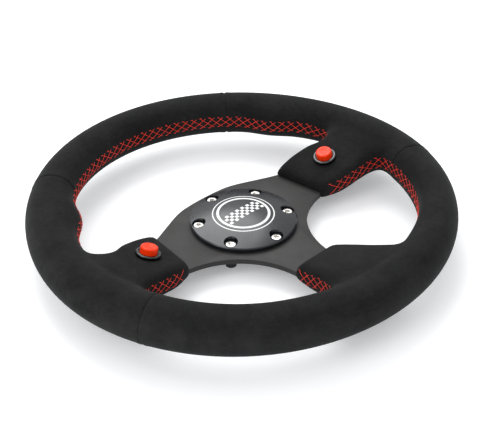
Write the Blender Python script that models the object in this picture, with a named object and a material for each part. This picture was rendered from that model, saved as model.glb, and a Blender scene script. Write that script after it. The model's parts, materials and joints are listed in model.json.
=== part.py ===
"""Three-spoke suede steering wheel with two thumb buttons, for a six-bolt hub or quick release.

Frame: metres, +Z along the steering axis towards the driver, +Y towards the wheel's top, +X to the
driver's right. The origin is on the steering axis, in the plane where a hub or quick release bolts on.
"""

import math

import bmesh
import bpy
from mathutils import Matrix, Vector

# Clearances between neighbours
GAP = 0.0003
INLAY_GAP = 0.0001

# Rim: its centre line is a near circle, a little further from the hub at the top than at the bottom
RIM_RADIUS = 0.1458
RIM_RISE = 0.0030
RIM_FLATTENING = 0.0012
RIM_CENTRE_Z = 0.0184
GRIP_HALF_WIDTH = 0.0172
GRIP_HALF_HEIGHT = 0.0172
THUMB_SWELL = 0.0072
THUMB_ANGLE = math.radians(54.5)
THUMB_SPREAD = math.radians(8)
SIDE_SWELL = 0.0019
SIDE_ANGLE = math.radians(95)
SIDE_SPREAD = math.radians(28)
LOWER_HOLLOW = 0.0050
LOWER_ANGLE = math.radians(138)
LOWER_SPREAD = math.radians(23)
RIM_SECTIONS = 48
GRIP_SIDES = 12
CORE_RADIUS = 0.005
CORE_SIDES = 8

# Suede cover, sewn from four panels over the foam
SUEDE = 0.0012
SKIN = SUEDE + GAP
UPPER_SEAM = math.radians(38.5)
LOWER_SEAM = math.radians(111)

# Spoke plate
PLATE_THICKNESS = 0.004
HUB_BORE_RADIUS = 0.0250
ARM_SLOPE = 0.27
LIP_X = 0.0660
LIP_Y = 0.0730
LIP_SLANT = 0.12
LIP_SLANT_REACH = 0.030
CUTOUT_CENTRE = (0.0797, -0.0768)
CUTOUT_RADIUS = 0.0618
CROWN_TOP = 0.0458
CROWN_RADIUS = 0.2000
CROWN_HALF_WIDTH = 0.0240

# Six screws on the hub's bolt circle
BOLT_CIRCLE_RADIUS = 0.0350
BOLT_COUNT = 6
SCREW_RADIUS = 0.0025
SCREW_HOLE_RADIUS = 0.0029
SCREW_HEAD_RADIUS = 0.0040
SCREW_HEAD_HEIGHT = 0.0020
SCREW_LENGTH = 0.0170
SOCKET_RADIUS = 0.0020
SOCKET_DEPTH = 0.0014
SLEEVE_NUT_RADIUS = 0.00425
STAND_Z = -0.0125

# Centre plate that closes the hub, with a domed face
CENTRE_PLATE_RADIUS = 0.0412
CENTRE_PLATE_EDGE = 0.0033
CENTRE_PLATE_CHAMFER = 0.0006
DOME_RADIUS = 0.1500
COUNTERBORE_RADIUS = 0.0053
BADGE_RINGS = {"outer": (0.0229, 0.0240), "inner": (0.0185, 0.0210)}
BADGE_DEPTH = 0.0005

# Thumb button, in its own frame: the suede's surface is at 0 and the cap's axis is +Z
BUTTON_X = 0.0937
BUTTON_Y = 0.0011
BUTTON_SEAT_Z = 0.0203
BUTTON_TILT = math.atan(ARM_SLOPE)
CAP_RADIUS = 0.0064
CAP_TOP = 0.0072
BARREL_RADIUS = 0.0075
BARREL_BORE = 0.0068
BARREL_BOTTOM = -0.0210
FLANGE_RADIUS = 0.0084
BEZEL_RADIUS = 0.0093
NUT_TOP = -0.0165
NUT_HEIGHT = 0.0040
NUT_ACROSS_FLATS = 0.0190
POCKET_RADIUS = 0.0125
SPRING_RADIUS = 0.0045
SPRING_WIRE = 0.00035
SPRING_TURNS = 4

CENTRE_PLATE_BOTTOM = PLATE_THICKNESS + GAP
CENTRE_PLATE_SHOULDER = CENTRE_PLATE_BOTTOM + CENTRE_PLATE_EDGE
SCREW_SEAT = CENTRE_PLATE_BOTTOM + 0.0010
ROUND_STEPS = 20
DISC_STEPS = 48


# ---------------------------------------------------------------------------- materials and helpers

def material(name, colour, roughness, metallic=0.0):
    """A Principled material, made once."""
    made = bpy.data.materials.get(name)
    if made is None:
        made = bpy.data.materials.new(name)
        made.use_nodes = True
        shader = made.node_tree.nodes["Principled BSDF"]
        shader.inputs["Base Color"].default_value = (*colour, 1.0)
        shader.inputs["Roughness"].default_value = roughness
        shader.inputs["Metallic"].default_value = metallic
    return made


def suede():
    return material("black suede", (0.020, 0.020, 0.021), 0.95)


def foam():
    return material("black foam", (0.035, 0.035, 0.035), 0.90)


def black_plate():
    return material("black anodised plate", (0.055, 0.055, 0.056), 0.50, 0.4)


def gloss_black():
    return material("gloss black", (0.020, 0.022, 0.024), 0.25, 0.3)


def bare_aluminium():
    return material("bare aluminium", (0.70, 0.70, 0.71), 0.40, 1.0)


def zinc_steel():
    return material("zinc steel", (0.72, 0.71, 0.68), 0.25, 1.0)


def black_steel():
    return material("black steel", (0.030, 0.030, 0.032), 0.40, 0.8)


def white_enamel():
    return material("white enamel", (0.80, 0.80, 0.80), 0.45)


def red_plastic():
    return material("red plastic", (0.85, 0.06, 0.03), 0.30)


def black_plastic():
    return material("black plastic", (0.030, 0.030, 0.030), 0.45)


def rubber():
    return material("rubber", (0.015, 0.015, 0.015), 0.80)


def copper():
    return material("copper", (0.72, 0.40, 0.22), 0.30, 1.0)


def clear_scene():
    for old in list(bpy.data.objects):
        bpy.data.objects.remove(old, do_unlink=True)


def place(mesh_builder, name, finish, transform=Matrix.Identity(4)):
    """Turns a bmesh into a named object with its finish, shaded smooth over rounded faces."""
    mesh = bpy.data.meshes.new(name)
    bmesh.ops.recalc_face_normals(mesh_builder, faces=mesh_builder.faces)
    mesh_builder.to_mesh(mesh)
    mesh_builder.free()
    mesh.shade_smooth()
    mesh.set_sharp_from_angle(angle=math.radians(35))
    mesh.materials.append(finish)
    made = bpy.data.objects.new(name, mesh)
    made.matrix_world = transform
    bpy.context.scene.collection.objects.link(made)
    return made


def carve(target, *cutters, operation="DIFFERENCE"):
    """Cuts, joins or intersects target with each cutter in turn, and removes the cutters."""
    for cutter in cutters:
        modifier = target.modifiers.new("carve", "BOOLEAN")
        modifier.operation = operation
        modifier.object = cutter
    bpy.context.view_layer.update()
    graph = bpy.context.evaluated_depsgraph_get()
    carved = bpy.data.meshes.new_from_object(target.evaluated_get(graph))
    target.modifiers.clear()
    target.data = carved
    carved.shade_smooth()
    carved.set_sharp_from_angle(angle=math.radians(35))
    for cutter in cutters:
        bpy.data.objects.remove(cutter, do_unlink=True)
    return target


def turned(profile, steps=ROUND_STEPS):
    """A solid turned round Z from a closed (radius, z) outline. Points at radius 0 meet on the axis."""
    builder = bmesh.new()
    points = [builder.verts.new((radius, 0.0, z)) for radius, z in profile]
    edges = [builder.edges.new(pair) for pair in zip(points, points[1:])]
    if profile[0][0] > 0:
        edges.append(builder.edges.new((points[-1], points[0])))
    bmesh.ops.spin(builder, geom=points + edges, axis=(0, 0, 1), cent=(0, 0, 0),
                   steps=steps, angle=math.tau, use_merge=True)
    bmesh.ops.remove_doubles(builder, verts=builder.verts, dist=1e-6)
    return builder


def cylinder(radius, bottom, top, steps=ROUND_STEPS):
    return turned([(0, bottom), (radius, bottom), (radius, top), (0, top)], steps)


def ring(inner, outer, bottom, top, steps=ROUND_STEPS):
    return turned([(inner, bottom), (outer, bottom), (outer, top), (inner, top)], steps)


def prism(outline, bottom, top):
    """A flat outline of (x, y) points, extruded from bottom to top."""
    builder = bmesh.new()
    face = builder.faces.new([builder.verts.new((x, y, bottom)) for x, y in outline])
    raised = bmesh.ops.extrude_face_region(builder, geom=[face])["geom"]
    bmesh.ops.translate(builder, vec=(0, 0, top - bottom),
                        verts=[item for item in raised if isinstance(item, bmesh.types.BMVert)])
    return builder


def loft(sections, closed=False):
    """Joins rings of points, all with as many points, into one skin with flat ends, or into a closed ring."""
    builder = bmesh.new()
    rings = [[builder.verts.new(point) for point in section] for section in sections]
    following = rings[1:] + rings[:1] if closed else rings[1:]
    for here, there in zip(rings, following):
        for i in range(len(here)):
            j = (i + 1) % len(here)
            builder.faces.new((here[i], here[j], there[j]))
            builder.faces.new((here[i], there[j], there[i]))
    if not closed:
        builder.faces.new(rings[0])
        builder.faces.new(rings[-1])
    return builder


def arc(centre, radius, start, end, steps):
    """Points on an arc, from start to end in radians."""
    angles = [start + (end - start) * i / steps for i in range(steps + 1)]
    return [(centre[0] + radius * math.cos(a), centre[1] + radius * math.sin(a)) for a in angles]


def grown(outline, distance):
    """The outline, given anticlockwise, moved outwards by distance at every corner."""
    moved = []
    for i, here in enumerate(outline):
        before, after = Vector(outline[i - 1]), Vector(outline[(i + 1) % len(outline)])
        here = Vector(here)
        first, second = (here - before).normalized(), (after - here).normalized()
        normal = (Vector((first.y, -first.x)) + Vector((second.y, -second.x))).normalized()
        reach = distance / max(0.5, normal.dot(Vector((first.y, -first.x))))
        moved.append(tuple(here + normal * reach))
    return moved


# ---------------------------------------------------------------------------- rim and grip

def rim_radius(angle):
    """The centre line's distance from the steering axis, at an angle clockwise from the wheel's top."""
    return RIM_RADIUS + RIM_RISE * math.cos(angle) + RIM_FLATTENING * math.cos(3 * angle)


def bump(angle, middle, spread):
    """A soft hump, 1 at the middle on both sides of the wheel and 0 far from it."""
    away = (abs(math.remainder(angle, math.tau)) - middle) / spread
    return math.exp(-away * away)


def thumb_swell(angle):
    """How much further the grip bulges inwards under each thumb."""
    return THUMB_SWELL * bump(angle, THUMB_ANGLE, THUMB_SPREAD)


def rim_section(angle, half_width, half_height, sides, swell=True):
    """One section of the rim. The grip is fuller beside the spokes and flatter inside the lower quarters."""
    outer_width = inner_width = half_width
    squareness = 0.0
    if swell:
        squareness = bump(angle, LOWER_ANGLE, LOWER_SPREAD)
        outer_width += SIDE_SWELL * bump(angle, SIDE_ANGLE, SIDE_SPREAD)
        inner_width += thumb_swell(angle) - LOWER_HOLLOW * squareness
    points = []
    for i in range(sides):
        turn = math.tau * i / sides
        outward, upward = math.cos(turn), math.sin(turn)
        if outward < 0:
            power = 1 - squareness / 3
            outward = -abs(outward) ** power
            upward = math.copysign(abs(upward) ** power, upward)
        radius = rim_radius(angle) + (outer_width if outward > 0 else inner_width) * outward
        points.append((radius * math.sin(angle), radius * math.cos(angle), RIM_CENTRE_Z + half_height * upward))
    return points


def section_angles():
    """Even steps round the rim, and half steps where the thumbs rest."""
    step = math.tau / RIM_SECTIONS
    halves = [step * i / 2 for i in range(2 * RIM_SECTIONS)]
    return [a for i, a in enumerate(halves) if i % 2 == 0 or thumb_swell(a) > 0.04 * THUMB_SWELL]


def rim_body(half_width, half_height, sides, swell=True):
    return loft([rim_section(a, half_width, half_height, sides, swell) for a in section_angles()], closed=True)


# Padding round a spoke's end, as (distance from the hub, low side, high side, bottom, top)
SIDE_PAD = [
    (0.0660, -0.0182, 0.0295, -0.0016, 0.0090),
    (0.0680, -0.0190, 0.0291, -0.0016, 0.0115),
    (0.0730, -0.0206, 0.0287, -0.0016, 0.0142),
    (0.0840, -0.0228, 0.0284, -0.0016, 0.0174),
    (0.0940, -0.0242, 0.0268, -0.0006, 0.0202),
    (0.1010, -0.0250, 0.0254, 0.0006, 0.0221),
    (0.1080, -0.0260, 0.0220, 0.0018, 0.0240),
    (0.1150, -0.0272, 0.0214, 0.0029, 0.0259),
    (0.1220, -0.0290, 0.0238, 0.0040, 0.0279),
    (0.1400, -0.0370, 0.0340, 0.0070, 0.0318),
]
LOWER_PAD = [
    (0.0730, -0.0200, 0.0200, -0.0016, 0.0090),
    (0.0750, -0.0212, 0.0212, -0.0016, 0.0115),
    (0.0800, -0.0222, 0.0222, -0.0016, 0.0142),
    (0.0920, -0.0238, 0.0238, -0.0010, 0.0196),
    (0.1050, -0.0262, 0.0262, 0.0010, 0.0250),
    (0.1180, -0.0320, 0.0320, 0.0036, 0.0296),
    (0.1340, -0.0420, 0.0420, 0.0070, 0.0325),
]
PAD_CORNER_STEPS = 2


def pad_section(low, high, bottom, top):
    """A rectangle with round corners in the plane across a spoke, as (across, height) points."""
    corner = min(0.0050, 0.42 * (top - bottom))
    centres = [(high - corner, top - corner), (low + corner, top - corner),
               (low + corner, bottom + corner), (high - corner, bottom + corner)]
    points = []
    for quarter, centre in enumerate(centres):
        start = quarter * math.pi / 2
        points += arc(centre, corner, start, start + math.pi / 2, PAD_CORNER_STEPS)
    return points


def pad_body(stations, towards, inset):
    """A spoke's padding. towards is "left", "right" or "lower", and inset shrinks it on every side."""
    sections = []
    for i, (reach, low, high, bottom, top) in enumerate(stations):
        slant = LIP_SLANT * max(0.0, 1 - (reach - LIP_X) / LIP_SLANT_REACH)
        reach += inset if i < 2 else 0.0
        flat = pad_section(low + inset, high - inset, bottom + inset, top - inset)
        if towards == "lower":
            sections.append([(across, -reach, height) for across, height in flat])
        else:
            side = 1 if towards == "right" else -1
            sections.append([(side * (reach + slant * (SIDE_PAD[0][2] - across)), across, height)
                             for across, height in flat])
    return loft(sections)


def grip_body(name, inset):
    """The whole padded shape, rim and three spoke ends, shrunk by inset on every side."""
    width, height = GRIP_HALF_WIDTH - inset, GRIP_HALF_HEIGHT - inset
    body = place(rim_body(width, height, GRIP_SIDES), name, foam())
    pads = [place(pad_body(SIDE_PAD, "left", inset), "left pad", foam()),
            place(pad_body(SIDE_PAD, "right", inset), "right pad", foam()),
            place(pad_body(LOWER_PAD, "lower", inset), "lower pad", foam())]
    return carve(body, *pads, operation="UNION")


def rim_core(radius, name, finish):
    return place(rim_body(radius, radius, CORE_SIDES, swell=False), name, finish)


# ---------------------------------------------------------------------------- spoke plate

def plate_outline():
    """The spoke plate seen from the driver, anticlockwise, from the right arm's end."""
    arm_end = RIM_RADIUS - CORE_RADIUS + 0.0020
    lower_end = rim_radius(math.pi) - CORE_RADIUS + 0.0020
    lower_arm = 0.0120
    right = [(LIP_X + 0.0140, -0.0130), (arm_end, -0.0130), (arm_end, 0.0200), (LIP_X + 0.0140, 0.0200),
             (LIP_X, 0.0280), (0.0520, 0.0330), (0.0380, 0.0390), (0.0300, 0.0422)]
    bend = math.asin(CROWN_HALF_WIDTH / CROWN_RADIUS)
    crown = arc((0, CROWN_TOP - CROWN_RADIUS), CROWN_RADIUS, math.pi / 2 - bend, math.pi / 2, 4)
    below_right = math.acos((LIP_X + 0.0030 - CUTOUT_CENTRE[0]) / CUTOUT_RADIUS)
    below_lower = math.pi - math.asin((-LIP_Y - CUTOUT_CENTRE[1]) / CUTOUT_RADIUS)
    sweep = arc(CUTOUT_CENTRE, CUTOUT_RADIUS, below_lower, below_right, 10)
    lower = [(lower_arm, -lower_end), (lower_arm, -LIP_Y - 0.0120)]
    half = lower + sweep + right + crown
    return half + [(-x, y) for x, y in reversed(half[:-1])]


def plate_body(clearance):
    """The plate with its three arms bent up to the rim's core, grown by clearance on every side."""
    builder = prism(grown(plate_outline(), clearance), -clearance, PLATE_THICKNESS + clearance)
    rise = RIM_CENTRE_Z - PLATE_THICKNESS / 2
    side_bend = RIM_RADIUS - CORE_RADIUS - rise / ARM_SLOPE
    lower_slope = 1.12 * ARM_SLOPE
    lower_bend = rim_radius(math.pi) - CORE_RADIUS - rise / lower_slope
    for point, normal in (((side_bend, 0, 0), (1, 0, 0)), ((-side_bend, 0, 0), (1, 0, 0)),
                          ((0, -lower_bend, 0), (0, 1, 0))):
        everything = builder.verts[:] + builder.edges[:] + builder.faces[:]
        bmesh.ops.bisect_plane(builder, geom=everything, dist=1e-7, plane_co=point, plane_no=normal)
    for vert in builder.verts:
        vert.co.z += ARM_SLOPE * max(0.0, abs(vert.co.x) - side_bend)
        vert.co.z += lower_slope * max(0.0, -vert.co.y - lower_bend)
    return builder


def bolt_places():
    """The six screws' centres, the first at the wheel's top, clockwise."""
    angles = [math.tau * i / BOLT_COUNT for i in range(BOLT_COUNT)]
    return [(BOLT_CIRCLE_RADIUS * math.sin(a), BOLT_CIRCLE_RADIUS * math.cos(a)) for a in angles]


def drills(radius, bottom, top):
    return [place(cylinder(radius, bottom, top), "drill", black_plastic(), Matrix.Translation((x, y, 0)))
            for x, y in bolt_places()]


def add_spoke_plate():
    plate = place(plate_body(0.0), "spoke_plate", black_plate())
    bore = place(cylinder(HUB_BORE_RADIUS, -0.01, 0.02, 48), "bore", black_plate())
    core = rim_core(CORE_RADIUS + GAP, "core clearance", black_plate())
    switches = [button_cutter(side, BARREL_RADIUS + GAP, -0.04, 0.01) for side in ("left", "right")]
    carve(plate, bore, core, *drills(SCREW_HOLE_RADIUS, -0.01, 0.02), *switches)


def add_rim_core():
    rim_core(CORE_RADIUS, "rim_core_ring", bare_aluminium())


def add_rim_foam():
    """Foam moulded round the core ring and the spoke ends, with a pocket behind each button."""
    padding = grip_body("rim_foam", SKIN)
    arms = place(plate_body(GAP), "plate clearance", black_plate())
    core = rim_core(CORE_RADIUS + GAP, "core clearance", black_plate())
    cutters = [button_cutter(side, *cut) for side in ("left", "right") for cut in BUTTON_CUTS]
    carve(padding, arms, core, *cutters)


def sector(start, end):
    """A wedge of space round the steering axis between two angles, clockwise from the top."""
    steps = 6
    reach = 2 * RIM_RADIUS
    angles = [start + (end - start) * i / steps for i in range(steps + 1)]
    outline = [(0.0, 0.0)] + [(reach * math.sin(a), reach * math.cos(a)) for a in angles]
    return place(prism(outline, -0.05, 0.08), "sector", suede())


def add_covers():
    """Four suede panels, each sewn to the next at a seam across the rim."""
    seam = GAP / 2 / RIM_RADIUS
    panels = {"top_cover": (-UPPER_SEAM, UPPER_SEAM),
              "right_cover": (UPPER_SEAM, LOWER_SEAM),
              "lower_cover": (LOWER_SEAM, math.tau - LOWER_SEAM),
              "left_cover": (-LOWER_SEAM, -UPPER_SEAM)}
    for name, (start, end) in panels.items():
        panel = grip_body(name, 0.0)
        carve(panel, grip_body("foam clearance", SUEDE))
        carve(panel, sector(start + seam, end - seam), operation="INTERSECT")
        cutters = []
        if name != "top_cover":
            cutters.append(place(plate_body(GAP), "plate clearance", black_plate()))
        side = name.split("_")[0]
        if side in ("left", "right"):
            cutters += [button_cutter(side, *cut) for cut in BUTTON_CUTS]
        if cutters:
            carve(panel, *cutters)
        panel.data.materials.clear()
        panel.data.materials.append(suede())


# ---------------------------------------------------------------------------- hub

def dome(radius):
    """The height of the centre plate's face at a distance from the axis."""
    return CENTRE_PLATE_SHOULDER + (CENTRE_PLATE_RADIUS ** 2 - radius ** 2) / (2 * DOME_RADIUS)


def add_centre_plate():
    """A domed disc over the hub with a spigot in the plate's bore, screw recesses and two badge grooves."""
    bottom, top = CENTRE_PLATE_BOTTOM, dome(0)
    spigot = HUB_BORE_RADIUS - GAP
    rim = CENTRE_PLATE_RADIUS - CENTRE_PLATE_CHAMFER
    face = [(rim * (6 - i) / 6, dome(rim * (6 - i) / 6)) for i in range(7)]
    profile = [(0, 0), (spigot, 0), (spigot, bottom), (CENTRE_PLATE_RADIUS, bottom),
               (CENTRE_PLATE_RADIUS, CENTRE_PLATE_SHOULDER - CENTRE_PLATE_CHAMFER), *face]
    disc = place(turned(profile, DISC_STEPS), "centre_plate", gloss_black())
    recess = SCREW_SEAT - GAP
    step = [(0, -0.01), (SCREW_HOLE_RADIUS, -0.01), (SCREW_HOLE_RADIUS, recess), (COUNTERBORE_RADIUS, recess),
            (COUNTERBORE_RADIUS, top + 0.001), (0, top + 0.001)]
    recesses = [place(turned(step), "recess", gloss_black(), Matrix.Translation((x, y, 0)))
                for x, y in bolt_places()]
    grooves = [place(ring(inner - INLAY_GAP, outer + INLAY_GAP, dome(outer) - BADGE_DEPTH, top + 0.001,
                          DISC_STEPS), "groove", gloss_black()) for inner, outer in BADGE_RINGS.values()]
    carve(disc, *recesses, *grooves)


def add_badge_rings():
    for name, (inner, outer) in BADGE_RINGS.items():
        floor = dome(outer) - BADGE_DEPTH + INLAY_GAP
        profile = [(inner, floor), (outer, floor), (outer, dome(outer)), (inner, dome(inner))]
        place(turned(profile, DISC_STEPS), f"badge_ring_{name}", white_enamel())


def add_screws():
    """Low-head socket screws, each in a sleeve nut that the wheel stands on when it is off the car."""
    seat = SCREW_SEAT
    top = seat + SCREW_HEAD_HEIGHT
    tip = seat - SCREW_LENGTH
    chamfer = 0.0004
    profile = [(0, tip), (SCREW_RADIUS - chamfer, tip), (SCREW_RADIUS, tip + chamfer), (SCREW_RADIUS, seat),
               (SCREW_HEAD_RADIUS, seat), (SCREW_HEAD_RADIUS, top - chamfer),
               (SCREW_HEAD_RADIUS - chamfer, top), (0, top)]
    sleeve = [(SCREW_HOLE_RADIUS, STAND_Z), (SLEEVE_NUT_RADIUS - chamfer, STAND_Z),
              (SLEEVE_NUT_RADIUS, STAND_Z + chamfer), (SLEEVE_NUT_RADIUS, -GAP), (SCREW_HOLE_RADIUS, -GAP)]
    for number, (x, y) in enumerate(bolt_places(), start=1):
        where = Matrix.Translation((x, y, 0))
        screw = place(turned(profile, 16), f"centre_screw_{number}", zinc_steel(), where)
        socket = place(cylinder(SOCKET_RADIUS, top - SOCKET_DEPTH, top + 0.001, 6), "socket", zinc_steel(), where)
        carve(screw, socket)
        place(turned(sleeve, 16), f"sleeve_nut_{number}", black_steel(), where)


# ---------------------------------------------------------------------------- thumb buttons

# Holes that a button needs in the padding, as (radius, bottom, top) in the button's frame
BUTTON_CUTS = ((BARREL_RADIUS + GAP, -0.0160, 0.0100), (POCKET_RADIUS, -0.0400, -0.0150))


def button_frame(side):
    """The button's frame: on the padding's slope, with its axis leaning towards the steering axis."""
    sign = 1 if side == "right" else -1
    lean = Matrix.Rotation(-sign * BUTTON_TILT, 4, "Y")
    return Matrix.Translation((sign * BUTTON_X, BUTTON_Y, BUTTON_SEAT_Z)) @ lean


def button_cutter(side, radius, bottom, top):
    return place(cylinder(radius, bottom, top), "button cutter", black_plastic(), button_frame(side))


def add_bezel(side, where):
    """A metal trim ring over the switch's flange."""
    inside, lip = FLANGE_RADIUS + GAP, CAP_RADIUS + 0.0009
    profile = [(inside, 0.0004), (BEZEL_RADIUS, 0.0004), (BEZEL_RADIUS, 0.0014), (FLANGE_RADIUS, 0.0030),
               (lip, 0.0030), (lip, 0.0025), (inside, 0.0025)]
    place(turned(profile, 28), f"{side}_bezel_ring", black_steel(), where)


def add_switch_barrel(side, where):
    """A flanged barrel with a ledge inside, which carries the spring and guides the plunger."""
    profile = [(BARREL_BORE, 0.0022), (BARREL_BORE, -0.0120), (0.0040, -0.0120), (0.0040, -0.0135),
               (BARREL_BORE, -0.0135), (BARREL_BORE, BARREL_BOTTOM), (BARREL_RADIUS, BARREL_BOTTOM),
               (BARREL_RADIUS, 0.0013), (FLANGE_RADIUS, 0.0013), (FLANGE_RADIUS, 0.0022)]
    place(turned(profile), f"{side}_switch_barrel", black_plastic(), where)


def add_switch_base(side, where):
    """The barrel's bottom plug, slotted for the two terminals."""
    base = place(cylinder(BARREL_BORE - GAP, BARREL_BOTTOM, BARREL_BOTTOM + 0.0015), f"{side}_switch_base",
                 black_plastic(), where)
    slots = [place(terminal_bar(offset, 0.0003, -0.03, 0.0), "slot", black_plastic(), where)
             for offset in TERMINAL_OFFSETS.values()]
    carve(base, *slots)


TERMINAL_OFFSETS = {"a": -0.0032, "b": 0.0032}


def terminal_bar(offset, clearance, bottom, top):
    half_thickness, half_width = 0.0004 + clearance, 0.0014 + clearance
    outline = [(offset - half_thickness, -half_width), (offset + half_thickness, -half_width),
               (offset + half_thickness, half_width), (offset - half_thickness, half_width)]
    return prism(outline, bottom, top)


def add_terminals(side, where):
    for label, offset in TERMINAL_OFFSETS.items():
        place(terminal_bar(offset, 0.0, -0.0248, -0.0182), f"{side}_terminal_{label}", copper(), where)


def add_mounting_nut(side, where):
    """A hexagon nut under the arm that clamps the switch."""
    corner = NUT_ACROSS_FLATS / math.sqrt(3)
    nut = place(cylinder(corner, NUT_TOP - NUT_HEIGHT, NUT_TOP, 6), f"{side}_mounting_nut", black_steel(), where)
    carve(nut, place(cylinder(BARREL_RADIUS + GAP, -0.03, 0.0), "bore", black_steel(), where))


def add_gasket(side, where):
    place(ring(BARREL_RADIUS + GAP, FLANGE_RADIUS, GAP, 0.0010), f"{side}_gasket", rubber(), where)


def add_cap(side, where):
    """The red cap, with a round edge and a shallow dished top."""
    edge = 0.0008
    rounding = arc((CAP_RADIUS - edge, CAP_TOP - edge), edge, 0, math.pi / 2, 3)
    profile = [(0, -0.0020), (CAP_RADIUS, -0.0020), *rounding, (0.0045, CAP_TOP - 0.0003), (0, CAP_TOP - 0.0005)]
    place(turned(profile, 28), f"{side}_button_cap", red_plastic(), where)


def add_plunger(side, where):
    """The stem under the cap, with a collar that the return spring pushes on."""
    profile = [(0, -0.0148), (0.0030, -0.0148), (0.0030, -0.0042), (0.0061, -0.0042), (0.0061, -0.0023),
               (0, -0.0023)]
    place(turned(profile), f"{side}_plunger", black_plastic(), where)


def add_contact_bridge(side, where):
    place(cylinder(0.0050, -0.0158, -0.0151), f"{side}_contact_bridge", copper(), where)


def add_return_spring(side, where):
    """A wire coil between the plunger's collar and the barrel's ledge."""
    bottom, top = -0.0120 + GAP + SPRING_WIRE, -0.0042 - GAP - SPRING_WIRE
    steps = 10 * SPRING_TURNS
    sections = []
    for i in range(steps + 1):
        angle = math.tau * SPRING_TURNS * i / steps
        height = bottom + (top - bottom) * i / steps
        outward = Vector((math.cos(angle), math.sin(angle), 0))
        centre = outward * SPRING_RADIUS + Vector((0, 0, height))
        sections.append([centre + SPRING_WIRE * (outward * math.cos(t) + Vector((0, 0, math.sin(t))))
                         for t in (math.tau * k / 5 for k in range(5))])
    place(loft(sections), f"{side}_return_spring", zinc_steel(), where)


def add_button(side):
    where = button_frame(side)
    for add in (add_bezel, add_gasket, add_switch_barrel, add_switch_base, add_terminals, add_mounting_nut,
                add_return_spring, add_cap, add_plunger, add_contact_bridge):
        add(side, where)


def main():
    clear_scene()
    add_spoke_plate()
    add_rim_core()
    add_rim_foam()
    add_covers()
    add_centre_plate()
    add_badge_rings()
    add_screws()
    for side in ("left", "right"):
        add_button(side)


main()
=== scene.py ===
"""Suede steering wheel with a flat spoke plate, a bolted centre plate and two thumb buttons."""

import json
import math

import bmesh
import bpy
from mathutils import Matrix, Vector
from mathutils.bvhtree import BVHTree


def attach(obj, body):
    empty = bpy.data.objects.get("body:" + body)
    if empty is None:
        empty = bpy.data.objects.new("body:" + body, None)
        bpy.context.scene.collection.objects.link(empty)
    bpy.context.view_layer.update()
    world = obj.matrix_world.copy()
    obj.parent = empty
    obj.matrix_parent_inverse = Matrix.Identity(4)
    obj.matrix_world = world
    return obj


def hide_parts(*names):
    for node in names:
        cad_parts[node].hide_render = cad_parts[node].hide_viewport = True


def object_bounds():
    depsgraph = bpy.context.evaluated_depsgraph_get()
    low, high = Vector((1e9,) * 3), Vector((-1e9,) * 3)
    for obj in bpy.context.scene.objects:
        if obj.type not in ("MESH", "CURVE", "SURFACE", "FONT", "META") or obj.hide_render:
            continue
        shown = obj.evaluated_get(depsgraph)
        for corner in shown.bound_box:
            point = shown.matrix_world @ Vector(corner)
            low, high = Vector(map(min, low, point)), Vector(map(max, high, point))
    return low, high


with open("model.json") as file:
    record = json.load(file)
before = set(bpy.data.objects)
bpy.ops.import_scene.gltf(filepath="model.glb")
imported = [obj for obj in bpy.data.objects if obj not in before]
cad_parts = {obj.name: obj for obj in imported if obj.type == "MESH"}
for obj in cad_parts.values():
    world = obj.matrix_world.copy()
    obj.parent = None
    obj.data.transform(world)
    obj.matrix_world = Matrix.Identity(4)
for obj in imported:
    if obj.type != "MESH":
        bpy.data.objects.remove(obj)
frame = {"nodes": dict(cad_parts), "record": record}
cad_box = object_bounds()

WHEEL = "wheel"
SIDES = {"left": -1, "right": 1}

# ---------------------------------------------------------------------------- camera

CAMERA_PLACE = Vector((-0.4707, -0.4820, 0.4704))
CAMERA_TARGET = Vector((0.0027, 0.0065, 0.0050))
CAMERA_ROLL = -0.0103
CAMERA_LENS = 80.04


def add_camera():
    data = bpy.data.cameras.new("camera")
    data.lens = CAMERA_LENS
    data.sensor_width = 36.0
    data.clip_start = 0.01
    camera = bpy.data.objects.new("camera", data)
    bpy.context.scene.collection.objects.link(camera)
    aim = (CAMERA_TARGET - CAMERA_PLACE).to_track_quat("-Z", "Y").to_matrix().to_4x4()
    camera.matrix_world = Matrix.Translation(CAMERA_PLACE) @ aim @ Matrix.Rotation(CAMERA_ROLL, 4, "Z")
    bpy.context.scene.camera = camera


add_camera()

# ---------------------------------------------------------------------------- sizes, in metres

RIM_RADIUS = 0.1458
RIM_RISE = 0.0030
RIM_FLATTENING = 0.0012
RIM_CENTRE_Z = 0.0184
GRIP_HALF = 0.0173
THUMB_SWELL = 0.0074
THUMB_ANGLE = math.radians(54.5)
THUMB_SPREAD = math.radians(8)
SIDE_SWELL = 0.0019
SIDE_ANGLE = math.radians(95)
SIDE_SPREAD = math.radians(28)
LOWER_HOLLOW = 0.0050
LOWER_ANGLE = math.radians(138)
LOWER_SPREAD = math.radians(23)
UPPER_SEAM = math.radians(38.5)
LOWER_SEAM = math.radians(111)

ARM_SLOPE = 0.27
PLATE_THICKNESS = 0.004
HUB_BORE = 0.0250
LIP_X = 0.0660
LIP_Y = 0.0730
LIP_SLANT = 0.12
LIP_SLANT_REACH = 0.030
CUTOUT_CENTRE = (0.0797, -0.0768)
CUTOUT_RADIUS = 0.0618
CROWN_TOP = 0.0458
CROWN_RADIUS = 0.2000
CROWN_EASE = (0.0180, 0.0360)
SHOULDER_SLOPE = -0.42
CORE_RADIUS = 0.005

BOLT_RADIUS = 0.0350
DISC_RADIUS = 0.0412
DISC_BOTTOM = 0.0043
DISC_SHOULDER = 0.0076
DOME_RADIUS = 0.1500
RINGS = {"outer": (0.0231, 0.0240), "inner": (0.0187, 0.0207)}
SCREW_SEAT = 0.0053
HEAD_HEIGHT = 0.0020
HEAD_RADIUS = 0.0040
SHANK_RADIUS = 0.0025
SHANK_LENGTH = 0.0170
SCREW_HOLE = 0.0029
COUNTERBORE = 0.0053
SLEEVE_RADIUS = 0.00425
STAND_Z = -0.0125
GAP = 0.0003

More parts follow.
